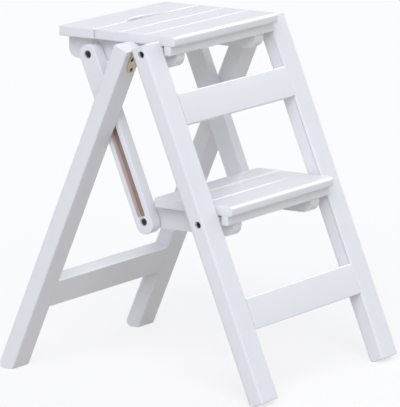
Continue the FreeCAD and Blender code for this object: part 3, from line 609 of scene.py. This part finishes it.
def plank_profile(front, back, top):
    """The section of a glued-up panel: nose, two seams between rounded shoulders, square back."""
    under = top - BOARD_THICKNESS
    reach = SEAM_EASE * math.sin(math.radians(SEAM_TURN))
    e = BOARD_EDGE_RADIUS
    parts = [bend(front + NOSE_TOP_RADIUS, top - NOSE_TOP_RADIUS, NOSE_TOP_RADIUS, 180, 90, 12)]
    for distance in (FRONT_PLANK, FRONT_PLANK + SECOND_PLANK):
        seam = front + distance
        parts.append(bend(seam - reach, top - SEAM_EASE, SEAM_EASE, 90, 90 - SEAM_FLOOR, 8))
        parts.append(bend(seam + reach, top - SEAM_EASE, SEAM_EASE, 90 + SEAM_FLOOR, 90, 8))
    parts.append(bend(back - e, top - e, e, 90, 0, 6))
    parts.append(bend(back - e, under + e, e, 0, -90, 6))
    parts.append(bend(front + NOSE_LOWER_RADIUS, under + NOSE_LOWER_RADIUS, NOSE_LOWER_RADIUS,
                      -90, -180, 9))
    return np.concatenate(parts)


paint_on_board = painted_wood("satin_enamel_on_beech_plank", (0.0, math.pi / 2, 0.0))
for name, body in (("seat_panel", "seat"), ("step_panel", "step")):
    low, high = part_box(name)
    panel = carried_board(plank_profile(low.y, high.y, high.z), *board_places())
    shell(name + "_planks", [panel], paint_on_board, body, [name])


def handhold_profile(low, high, x):
    """The rear board's section at each place: a rounded rectangle whose front steps back.

    The front edge follows a circle through the ends of the hand-hold; where the circle comes out
    past the straight edge the two are blended by a smooth maximum.
    """
    radius = (HANDHOLD_HALF ** 2 + HANDHOLD_DEPTH ** 2) / (2 * HANDHOLD_DEPTH)
    cut = np.sqrt(np.maximum(radius ** 2 - x ** 2, 0.0)) - radius + HANDHOLD_DEPTH
    cut = (cut + np.sqrt(cut ** 2 + HANDHOLD_CORNER ** 2)) / 2
    cut = np.where(np.abs(x) > HANDHOLD_ZONE - SAME_PLACE, 0.0, cut)
    share = np.clip(cut / HANDHOLD_EASE_OVER, 0.0, 1.0)
    ease = BOARD_EDGE_RADIUS + (HANDHOLD_EDGE_RADIUS - BOARD_EDGE_RADIUS) * share
    front = low.y + cut + ease
    e = np.full(x.shape, BOARD_EDGE_RADIUS)
    return np.concatenate([
        bend(front, high.z - ease, ease, 180, 90, 8), bend(high.y - e, high.z - e, e, 90, 0, 6),
        bend(high.y - e, low.z + e, e, 0, -90, 6), bend(front, low.z + ease, ease, -90, -180, 8)],
        axis=1)


low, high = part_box("seat_rear_board")
x, drawn = board_places(np.linspace(-HANDHOLD_ZONE, HANDHOLD_ZONE, HANDHOLD_STEPS))
rear_board = carried_board(handhold_profile(low, high, x), x, drawn)
shell("seat_rear_board_shaped", [rear_board], paint_on_board, "seat",
      ["seat_rear_board"])


# Aprons and cleats: a glued strip under each nose, and the two bearers under each tread with round
# lower corners, all beech and painted. The cleats hold the pivot bolts.
APRON_END = 0.0010

paint_on_cleat = painted_wood("satin_enamel_on_beech_cleat", (math.pi / 2, 0.0, 0.0))
for tread in ("seat", "step"):
    eased_copy(tread + "_apron", paint_on_board, APRON_END)
    for side in ("left", "right"):
        finish_node(tread + "_cleat_" + side, paint_on_cleat)


# Wood screws: zinc-plated pan heads, sunk in wells in the underside of the cleats, that hold the
# boards down.
SCREW_HEAD = 0.0038
SCREW_SHANK = 0.0020
SCREW_HEAD_HEIGHT = 0.0026
CLEAT_MIDDLE = 0.1076
PAN_DOME = 0.0002
HEAD_LEVEL = 0.0001
BETWEEN_HEADS = 0.003

# A screw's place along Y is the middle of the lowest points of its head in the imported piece.
for tread in ("seat", "step"):
    name = tread + "_screws"
    low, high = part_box(name)
    node_points = np.zeros(len(nodes[name].data.vertices) * 3)
    nodes[name].data.vertices.foreach_get("co", node_points)
    node_points = node_points.reshape(-1, 3)
    lowest = (node_points[:, 0] < 0) & (node_points[:, 2] < low.z + HEAD_LEVEL)
    rows = np.sort(node_points[lowest, 1])
    breaks = np.flatnonzero(np.diff(rows) > BETWEEN_HEADS)
    starts = rows[np.concatenate([[0], breaks + 1])]
    stops = rows[np.concatenate([breaks, [len(rows) - 1]])]
    screw = cross_screw(SCREW_HEAD, SCREW_SHANK, high.z - low.z, SCREW_HEAD_HEIGHT, False)
    grids = [np.stack([side * CLEAT_MIDDLE + screw[..., 0], middle + screw[..., 1],
                       low.z - screw[..., 2] + PAN_DOME], axis=-1)
             for side in (-1, 1) for middle in (starts + stops) / 2]
    shell(name + "_cut", grids, zinc_plate, tread, [name])


# Pivot bolts: black oxide socket-head bolts, M6, that join each tread to the stiles and to the
# links, with a nut and a washer inside the cleat. Their heads sit in wells bored in the wood.
BOLT_RADIUS = 0.003
BOLT_BORE = 0.00305
HEAD_RADIUS = 0.0046
HEAD_HEIGHT = 0.005
SOCKET_HALF = 0.0020
SOCKET_DEPTH = 0.0025
SOCKET_POINT = 0.0006
HEAD_ROUNDING = 0.0006
FINE_EDGE = 0.0002
TIP_CHAMFER = 0.0008
TIP_RADIUS = 0.0023
NUT_HALF = 0.005
NUT_HEIGHT = 0.005
NUT_CORNER = 0.00577
NUT_FACE = 0.0049
NUT_CHAMFER = 0.0006
WASHER_RADIUS = 0.0056
WASHER_THICKNESS = 0.0012
SPACER_RADIUS = 0.005
SPACER_EDGE = 0.0005
CLEAT_INSIDE = 0.0966
CLEAT_OUTSIDE = 0.1186
LINK_INSIDE = 0.1213
LINK_OUTSIDE = 0.1436
SLIDE_GAP = 0.0003
BOLT_TIP = 0.0015
STILE_HEAD = 0.181
LINK_WELL = 0.008
LINK_HEAD = LINK_OUTSIDE - LINK_WELL + SLIDE_GAP
NYLON_FLOW = 300.0

# Black oxide on steel: nearly black, with a dull metal shine on edges.
black_oxide = worked_metal("black_oxide_steel", "#3B3B3D", "#5A5A5C", 0.38)
# Moulded white nylon: a milky, slightly warm white with a soft shine.
nylon, tree = new_material("moulded_white_nylon")
place = add_node(tree, "ShaderNodeTexCoord")
flow = add_node(tree, "ShaderNodeTexNoise",
                links={"Vector": place.outputs["Object"], "Scale": NYLON_FLOW, "Detail": 2.0})
milk = add_node(tree, "ShaderNodeMix", {"data_type": "RGBA"},
                {0: flow.outputs[0], 6: linear("#E4E3DE"), 7: linear("#EDECE8")})
moulded = add_node(tree, "ShaderNodeBsdfPrincipled", links={
    "Base Color": milk.outputs[2], "Roughness": 0.45, "IOR": 1.53})
add_node(tree, "ShaderNodeOutputMaterial", links={0: moulded.outputs[0]})


def bolt_profile(head_x, tip_x):
    """A socket-head bolt from the bottom of its socket, over the head and down to the tip."""
    end = head_x + HEAD_HEIGHT
    socket = end - SOCKET_DEPTH
    return [(socket - SOCKET_POINT, NO_LIMIT, FINE_EDGE), (socket, SOCKET_HALF, NO_LIMIT),
            (end - FINE_EDGE, SOCKET_HALF, NO_LIMIT), (end, SOCKET_HALF + FINE_EDGE, NO_LIMIT),
            (end, NO_LIMIT, HEAD_RADIUS - HEAD_ROUNDING),
            (end - FINE_EDGE, NO_LIMIT, HEAD_RADIUS - FINE_EDGE),
            (end - HEAD_ROUNDING, NO_LIMIT, HEAD_RADIUS),
            (head_x, NO_LIMIT, HEAD_RADIUS), (head_x, NO_LIMIT, BOLT_RADIUS),
            (tip_x + TIP_CHAMFER, NO_LIMIT, BOLT_RADIUS), (tip_x, NO_LIMIT, TIP_RADIUS)]


def nut_profile(x):
    """A hexagon nut whose outer face is at x: its corners are turned down at both faces."""
    inner = x - NUT_HEIGHT
    return [(x, NO_LIMIT, BOLT_BORE), (x, NUT_HALF, NUT_FACE),
            (x - NUT_CHAMFER, NUT_HALF, NUT_CORNER), (inner + NUT_CHAMFER, NUT_HALF, NUT_CORNER),
            (inner, NUT_HALF, NUT_FACE), (inner, NO_LIMIT, BOLT_BORE)]


def washer_profile(x0, x1):
    """A plain washer from x0 to x1 with finely broken corners."""
    return ring_profile(x0, x1, BOLT_BORE, WASHER_RADIUS, FINE_EDGE)


for tread in ("seat", "step"):
    stile_pivot = np.array(JOINTS[tread + "_fold"]["pos_m"])
    washer_x = CLEAT_INSIDE - SLIDE_GAP
    nut_x = washer_x - WASHER_THICKNESS
    tip_x = nut_x - NUT_HEIGHT - BOLT_TIP
    sets = (("bolts", bolt_profile(STILE_HEAD, tip_x), black_oxide, "dark_steel", False),
            ("nuts", nut_profile(nut_x), black_oxide, "dark_steel", True),
            ("washers", washer_profile(nut_x, washer_x), black_oxide, "dark_steel", True),
            ("spacers", ring_profile(CLEAT_OUTSIDE + SLIDE_GAP, POST_INSIDE, BOLT_BORE,
                                     SPACER_RADIUS, SPACER_EDGE), nylon, "white_nylon", True))
    for kind, profile, finish, slot, loop in sets:
        name = tread + "_pivot_" + kind
        shell(name + "_turned", turned(profile, stile_pivot),
              finish, "front_frame", [name], loop)
    link_pivot = axis_of(tread + "_link_bolts")
    tip_x = CLEAT_INSIDE - NUT_HEIGHT - BOLT_TIP
    sets = (("bolts", bolt_profile(LINK_HEAD, tip_x), False),
            ("nuts", nut_profile(CLEAT_INSIDE), True),
            ("washers", washer_profile(CLEAT_OUTSIDE, LINK_INSIDE - SLIDE_GAP), True))
    for kind, profile, loop in sets:
        name = tread + "_link_" + kind
        shell(name + "_turned", turned(profile, link_pivot),
              black_oxide, tread, [name], loop)


# Links: beech bars with half-round ends that hang the backs of the treads on one another. The long
# blind groove for the guide pin was routed after painting, so the bare wood shows inside it.
LINK_EDGE = 0.0005
GROOVE_HALF = 0.0071
GROOVE_SKIN = 0.0005
GROOVE_DEPTH = 0.010
WELL_CLEAR = 0.0085
FADE = 0.0002
BELOW_FLOOR = (0.001, 0.002)
ABOVE_FLOOR = (0.0012, 0.0004)
# Where the painted shadow on the groove floor lies: its band across the front side, and where along the
# link it grows from faint to full.
GROOVE_SHADOW_ACROSS = (-0.0055, -0.0005)
GROOVE_SHADOW_DOWN = (0.03, 0.12)

painted_link, tree = new_material("satin_enamel_on_beech_link_with_bare_groove")
coat, along = paint_coat(tree, (STILE_LEAN, 0.0, 0.0))
apart = add_node(tree, "ShaderNodeSeparateXYZ", links={0: along})
pivots = []
for tread in ("seat", "step"):
    y, z = axis_of(tread + "_link_bolts")[1:].tolist()
    pivots.append((y * math.cos(STILE_LEAN) - z * math.sin(STILE_LEAN),
                   y * math.sin(STILE_LEAN) + z * math.cos(STILE_LEAN)))
link_line = (pivots[0][0] + pivots[1][0]) / 2
across = add_node(tree, "ShaderNodeMath", {"operation": "SUBTRACT"},
                  {0: apart.outputs[1], 1: link_line})
off_line = add_node(tree, "ShaderNodeMath", {"operation": "ABSOLUTE"}, {0: across.outputs[0]})
in_width = add_node(tree, "ShaderNodeMapRange",
                    links={0: off_line.outputs[0], 1: GROOVE_HALF, 2: GROOVE_HALF + FADE, 3: 1.0, 4: 0.0})
below_top = add_node(tree, "ShaderNodeMapRange", links={
    0: apart.outputs[2], 1: pivots[0][1] - WELL_CLEAR, 2: pivots[0][1] - WELL_CLEAR + FADE, 3: 1.0, 4: 0.0})
above_low = add_node(tree, "ShaderNodeMapRange", links={
    0: apart.outputs[2], 1: pivots[1][1] + WELL_CLEAR - FADE, 2: pivots[1][1] + WELL_CLEAR, 3: 0.0, 4: 1.0})
width_x = add_node(tree, "ShaderNodeMath", {"operation": "ABSOLUTE"}, {0: apart.outputs[0]})
sunk = add_node(tree, "ShaderNodeMath", {"operation": "SUBTRACT"},
                {0: LINK_OUTSIDE, 1: width_x.outputs[0]})
past_skin = add_node(tree, "ShaderNodeMapRange", links={
    0: sunk.outputs[0], 1: GROOVE_SKIN, 2: GROOVE_SKIN + FADE, 3: 0.0, 4: 1.0})
not_back = add_node(tree, "ShaderNodeMapRange", links={
    0: sunk.outputs[0], 1: GROOVE_DEPTH + BELOW_FLOOR[0], 2: GROOVE_DEPTH + BELOW_FLOOR[1],
    3: 1.0, 4: 0.0})
bare_share = in_width.outputs[0]
for limit in (below_top, above_low, past_skin, not_back):
    bare_share = add_node(tree, "ShaderNodeMath", {"operation": "MULTIPLY"},
                          {0: bare_share, 1: limit.outputs[0]}).outputs[0]
# Routed beech: pale pinkish walls and a browner floor, the floor darker partly from the wood and
# partly as painted shade; a near-black painted shadow lies along the floor's front side, fainter towards
# the lower end.
streak_place = add_node(tree, "ShaderNodeMapping",
                        links={"Vector": along, "Scale": (GRAIN_ACROSS, GRAIN_ACROSS, GRAIN_ALONG)})
streaks = add_node(tree, "ShaderNodeTexNoise",
                   links={"Vector": streak_place.outputs[0], "Scale": 1.0, "Detail": 3.0})
# Browner at the floor than on the walls: partly the wood's own tone, partly painted shade at the bottom of
# the groove.
floor_depth_shade = add_node(tree, "ShaderNodeMapRange", links={
    0: sunk.outputs[0], 1: GROOVE_DEPTH - ABOVE_FLOOR[0], 2: GROOVE_DEPTH - ABOVE_FLOOR[1]})
front_side = add_node(tree, "ShaderNodeMapRange", links={
    0: across.outputs[0], 1: GROOVE_SHADOW_ACROSS[0], 2: GROOVE_SHADOW_ACROSS[1], 3: 1.0, 4: 0.0})
upper_part = add_node(tree, "ShaderNodeMapRange", links={
    0: apart.outputs[2], 1: pivots[1][1] + GROOVE_SHADOW_DOWN[0], 2: pivots[0][1] - GROOVE_SHADOW_DOWN[1],
    3: 0.15, 4: 1.0})
# A near-black painted shadow along the front side of the groove floor, fainter towards the lower pivot.
painted_groove_shadow = add_node(tree, "ShaderNodeMath", {"operation": "MULTIPLY"},
                   {0: front_side.outputs[0], 1: upper_part.outputs[0]})
floor_tone_and_shade = add_node(tree, "ShaderNodeMix", {"data_type": "RGBA"},
                      {0: painted_groove_shadow.outputs[0], 6: linear("#BCA79D"), 7: linear("#1F1B1A")})
groove_tone_and_shade = add_node(tree, "ShaderNodeMix", {"data_type": "RGBA"},
                     {0: floor_depth_shade.outputs[0], 6: linear("#EAE3E1"), 7: floor_tone_and_shade.outputs[2]})
streaked = add_node(tree, "ShaderNodeMix", {"data_type": "RGBA", "blend_type": "MULTIPLY"},
                    {0: streaks.outputs[0], 6: groove_tone_and_shade.outputs[2], 7: linear("#D2C6BC")})
routed = add_node(tree, "ShaderNodeBsdfPrincipled",
                  links={"Base Color": streaked.outputs[2], "Roughness": 0.75})
either = add_node(tree, "ShaderNodeMixShader", links={0: bare_share, 1: coat, 2: routed.outputs[0]})
add_node(tree, "ShaderNodeOutputMaterial", links={0: either.outputs[0]})
for side in ("left", "right"):
    eased_copy("link_" + side, painted_link, LINK_EDGE)
